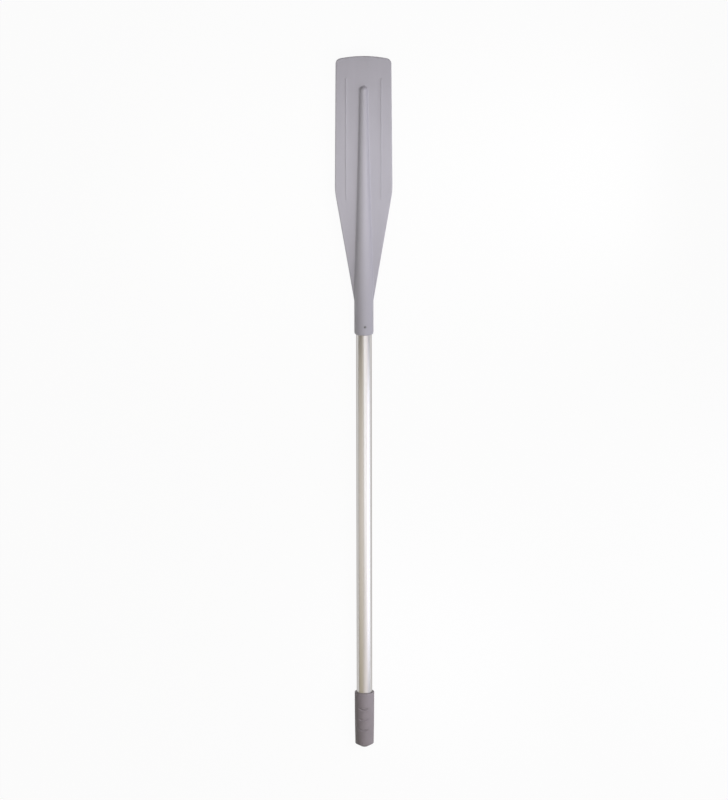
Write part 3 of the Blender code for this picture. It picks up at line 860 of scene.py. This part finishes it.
class GripShape:
    """The grip as rows of points round the oar's axis."""

    SIDES = 160
    LIP_STEPS = 6
    CORNER_STEPS = 5
    BODY_STEP = 0.0025
    GROOVE_STEP = 0.0005  # between the close rows over the grooves
    GROOVE_LEAD = 0.008  # close rows before the first groove's middle
    GROOVE_TAIL = 0.006  # close rows past the last groove's middle
    SOFTENINGS = 2

    def __init__(self, settings):
        g = self.g = settings
        self.mouth = TIP_Y - GRIP_HIGH.y
        self.end = TIP_Y - GRIP_LOW.y
        self.cone_start = self.end - g.cone_length
        self.grooves = [self.mouth + g.first_groove + g.groove_pitch * i
                        for i in range(g.grooves)]

    def radius(self, station):
        """The outside: near straight at the mouth and drawn in towards the closed end."""
        part = (station - self.mouth) / (self.cone_start - self.mouth)
        return self.g.radius - self.g.taper * part ** 2

    def cut(self, turn, station):
        """How far the grooves cut in at one place on the grip's outside."""
        g = self.g
        off_middle = (turn + g.groove_turn + RIGHT_ANGLE) % math.pi - RIGHT_ANGLE
        part = min(1.0, abs(off_middle) / g.groove_reach)
        rise = (g.groove_depth + g.groove_run_out) * part ** 4
        deepest = 0.0
        for groove in self.grooves:
            along = station - groove + g.groove_sag * part ** 2
            if abs(along) < g.groove_round:
                tool = self.radius(groove) - g.groove_depth + g.groove_round + rise
                floor = tool - math.sqrt(g.groove_round ** 2 - along ** 2)
                deepest = max(deepest, self.radius(station) - floor)
        return deepest

    def stations(self):
        """Stations of the rows from the mouth's lip to the end cone, close over the grooves."""
        landmarks = [(self.cone_start, self.BODY_STEP)]
        if self.grooves:
            landmarks = [(self.grooves[0] - self.GROOVE_LEAD, self.BODY_STEP),
                         (self.grooves[-1] + self.GROOVE_TAIL, self.GROOVE_STEP)] + landmarks
        rows = [self.mouth + self.g.lip_radius]
        for landmark, step in landmarks:
            rows += spread(rows[-1], landmark, round((landmark - rows[-1]) / step))
        return rows

    def softened(self, depths):
        """The cuts with their sharp lips rounded, as the mould's are."""
        for i in range(self.SOFTENINGS):
            around = [[(row[j - 1] + 2 * row[j] + row[(j + 1) % len(row)]) / 4
                       for j in range(len(row))] for row in depths]
            depths = [around[0]]
            depths += [[(a + 2 * b + c) / 4 for a, b, c in zip(*three)]
                       for three in zip(around, around[1:], around[2:])]
            depths.append(around[-1])
        return depths

    def build(self):
        """The whole grip: bore, lip, grooved body and conical end."""
        g = self.g
        turns = turns_of(self.SIDES)
        stations = self.stations()
        depths = self.softened([[self.cut(turn, station) for turn in turns]
                                for station in stations])
        body = [[about_axis(self.radius(station) - depth, turn, station)
                 for turn, depth in zip(turns, row)] for station, row in zip(stations, depths)]
        lip_centre = (self.radius(stations[0]) - g.lip_radius, stations[0])
        bore_end = self.end - g.floor
        bore = [(0.0, bore_end), (g.bore_radius, bore_end), (g.bore_radius, self.mouth)]
        lip = arc(lip_centre, g.lip_radius, -RIGHT_ANGLE, 0.0, self.LIP_STEPS)[:-1]
        corners = [(self.radius(station), station) for station in stations[-2:]]
        corners += [(g.flat_radius, self.end), (0.0, self.end)]
        cone = [point for three in zip(corners, corners[1:], corners[2:])
                for point in rounded_corner(*three, g.corner_radius, self.CORNER_STEPS)]
        body = [row for row in body if row[0][2] < cone[0][1]]
        rows = turned(bore + lip, self.SIDES) + body + turned(cone + corners[-1:], self.SIDES)
        bm = bmesh.new()
        add_grid(bm, rows, is_ring=True)
        return bm


class OAR_OT_grip(bpy.types.Operator):
    """Build the hand grip with its finger grooves and conical end"""

    bl_idname = "oar.build_grip"
    bl_label = "Grip"

    def execute(self, context):
        settings = context.scene.oar_grip
        obj = new_object("hand_grip", GripShape(values_of(settings)).build())
        stand_for(obj, "grip", moulded_vinyl(settings.plastic))
        return {'FINISHED'}


# Studio

# Name, size along and across the oar, position, power in watts, colour, and what it is for:
# a fill lights surfaces and isn't mirrored, and a card is only mirrored
LAMPS = (
    ("blade_lamp", (0.45, 1.0), (0.34, 0.60, 0.44), 2.35, "FAFAFF", 'LAMP'),
    ("blade_left_lamp", (0.30, 0.5), (-0.36, 0.53, 0.40), 0.65, "FFFDF4", 'LAMP'),
    ("grip_lamp", (0.25, 0.3), (0.22, -0.66, 0.40), 1.10, "F6F1FF", 'FILL'),
    ("high_lamp", (0.60, 0.9), (0.45, -0.60, 2.05), 2.06, "E7F5FF", 'LAMP'),
    ("right_lamp", (0.90, 1.0), (0.90, -0.55, 0.50), 3.00, "ECF2FF", 'LAMP'),
    ("right_low_card", (0.90, 0.45), (0.90, -0.55, 0.25), 1.10, "F4F5FF", 'CARD'),
    ("left_card", (1.10, 1.3), (-0.70, -0.60, 0.65), 2.21, "FFF0CA", 'CARD'),
    ("far_left_card", (0.70, 2.6), (-1.35, -0.76, 1.30), 2.64, "E2E6FF", 'CARD'),
)


def add_lamp(name, size, position, power, colour_code, purpose):
    """A soft rectangular lamp that faces the oar, hidden from the camera."""
    data = bpy.data.lights.new(name, 'AREA')
    data.shape = 'RECTANGLE'
    data.size, data.size_y = size
    data.energy = power
    data.color = linear(colour_code)[:3]
    lamp = linked(name, data)
    lamp.location = position
    towards = Vector((0.0, position[1], AXIS_HEIGHT)) - Vector(position)
    lamp.rotation_euler = towards.to_track_quat('-Z', 'Y').to_euler()
    lamp.visible_camera = False
    lamp.visible_glossy = purpose != 'FILL'
    lamp.visible_diffuse = purpose != 'CARD'


class OAR_OT_studio(bpy.types.Operator):
    """Set up the camera, the pale floor and the soft light"""

    bl_idname = "oar.build_studio"
    bl_label = "Studio"

    SENSOR_WIDTH = 36.0  # millimetres
    FLOOR_HALF = 40.0
    # The world's light, by how nearly a direction points to its brightest side
    BRIGHTEST = (0.42, 0.0, 0.907)
    ALL_ROUND = {"low": 0.053, "high": 0.130, "start": -0.2, "end": 0.95}
    OVERHEAD = {"low": 0.0, "high": 1.0, "start": 0.6, "end": 1.0}
    LEFT_TINT = (1.0, 0.95, 0.84, 1.0)
    RIGHT_TINT = (1.03, 0.95, 0.96, 1.0)
    # Where the white backdrop fades in: towards both ends of the oar, and down to the horizon
    ENDS = {"start": 0.70, "end": 0.85}
    HORIZON = {"start": 0.005, "end": 0.02}

    def execute(self, context):
        s = values_of(context.scene.oar_studio)
        self.add_camera(context, s)
        self.add_floor(context, s)
        self.light_world(context, s)
        for lamp in LAMPS:
            add_lamp(*lamp)
        context.scene.view_settings.view_transform = 'Standard'
        return {'FINISHED'}

    def add_camera(self, context, s):
        data = bpy.data.cameras.new("camera")
        data.lens = s.lens
        data.sensor_width = self.SENSOR_WIDTH
        camera = linked("camera", data)
        lean = Matrix.Translation((0.0, 0.0, AXIS_HEIGHT)) @ Matrix.Rotation(-s.tilt, 4, 'X')
        place = lean @ Matrix.Translation((0.0, s.aim, s.distance))
        camera.matrix_world = place @ Matrix.Rotation(-s.roll, 4, 'Z')
        context.scene.camera = camera

    def add_floor(self, context, s):
        bm = bmesh.new()
        bmesh.ops.create_grid(bm, x_segments=1, y_segments=1, size=self.FLOOR_HALF)
        floor = new_object("floor", bm)
        floor.data.materials.append(matt_paper(s.floor, s.whitening))

    def light_world(self, context, s):
        """Soft light all round, brightest overhead and a little warmer on the left.

        A white backdrop shows low down and towards both ends of the oar.
        """
        world = bpy.data.worlds.new("soft_light")
        world.use_nodes = True
        tree = world.node_tree
        tree.nodes.clear()
        direction = add_node(tree, "ShaderNodeTexCoord").outputs["Generated"]
        towards = add_node(tree, "ShaderNodeVectorMath", {"operation": 'DOT_PRODUCT'},
                           {0: direction, 1: self.BRIGHTEST}).outputs["Value"]
        level = calculated(tree, 'ADD', ranged(tree, towards, **self.ALL_ROUND),
                           ranged(tree, towards, **self.OVERHEAD))
        part = add_node(tree, "ShaderNodeSeparateXYZ", inputs={0: direction}).outputs
        rightness = ranged(tree, part["X"], low=0.0, high=1.0, start=-1.0, end=1.0)
        tint = add_node(tree, "ShaderNodeMix", {"data_type": 'RGBA'},
                        {0: rightness, 6: self.LEFT_TINT, 7: self.RIGHT_TINT}).outputs[2]
        light = add_node(tree, "ShaderNodeBackground",
                         inputs={"Color": tint, "Strength": level}).outputs[0]
        white = add_node(tree, "ShaderNodeBackground",
                         inputs={"Color": linear("FFFFFF"), "Strength": 1.0}).outputs[0]
        endways = calculated(tree, 'ABSOLUTE', part["Y"])
        backdrop = calculated(tree, 'MAXIMUM',
                              ranged(tree, endways, 0.0, s.whitening, **self.ENDS),
                              ranged(tree, part["Z"], s.whitening, 0.0, **self.HORIZON))
        mixed = whitened(tree, backdrop, light, white)
        add_node(tree, "ShaderNodeOutputWorld", inputs={"Surface": mixed})
        context.scene.world = world


# Sidebar and registration

SETTINGS = {"oar_blade": OarBladeSettings, "oar_tube": OarTubeSettings,
            "oar_grip": OarGripSettings, "oar_rivet": OarRivetSettings,
            "oar_studio": OarStudioSettings}
OPERATORS = (OAR_OT_blade, OAR_OT_tube, OAR_OT_grip, OAR_OT_rivet, OAR_OT_studio)


class OAR_PT_sidebar(bpy.types.Panel):
    """Settings of the oar and the buttons that build it"""

    bl_idname = "OAR_PT_sidebar"
    bl_label = "Rowing Oar"
    bl_space_type = 'VIEW_3D'
    bl_region_type = 'UI'
    bl_category = "Oar"

    def draw(self, context):
        for operator in OPERATORS:
            self.layout.operator(operator.bl_idname)
        for name, group in SETTINGS.items():
            box = self.layout.box()
            for setting in group.__annotations__:
                box.prop(getattr(context.scene, name), setting)


def register():
    for name, group in SETTINGS.items():
        bpy.utils.register_class(group)
        setattr(bpy.types.Scene, name, bpy.props.PointerProperty(type=group))
    for kind in (*OPERATORS, OAR_PT_sidebar):
        bpy.utils.register_class(kind)


def unregister():
    for kind in (OAR_PT_sidebar, *reversed(OPERATORS)):
        bpy.utils.unregister_class(kind)
    for name, group in reversed(SETTINGS.items()):
        delattr(bpy.types.Scene, name)
        bpy.utils.unregister_class(group)


def main():
    register()
    bpy.ops.oar.build_blade()
    bpy.ops.oar.build_tube()
    bpy.ops.oar.build_grip()
    bpy.ops.oar.build_rivet()
    bpy.ops.oar.build_studio()


if __name__ == "__main__":
    main()
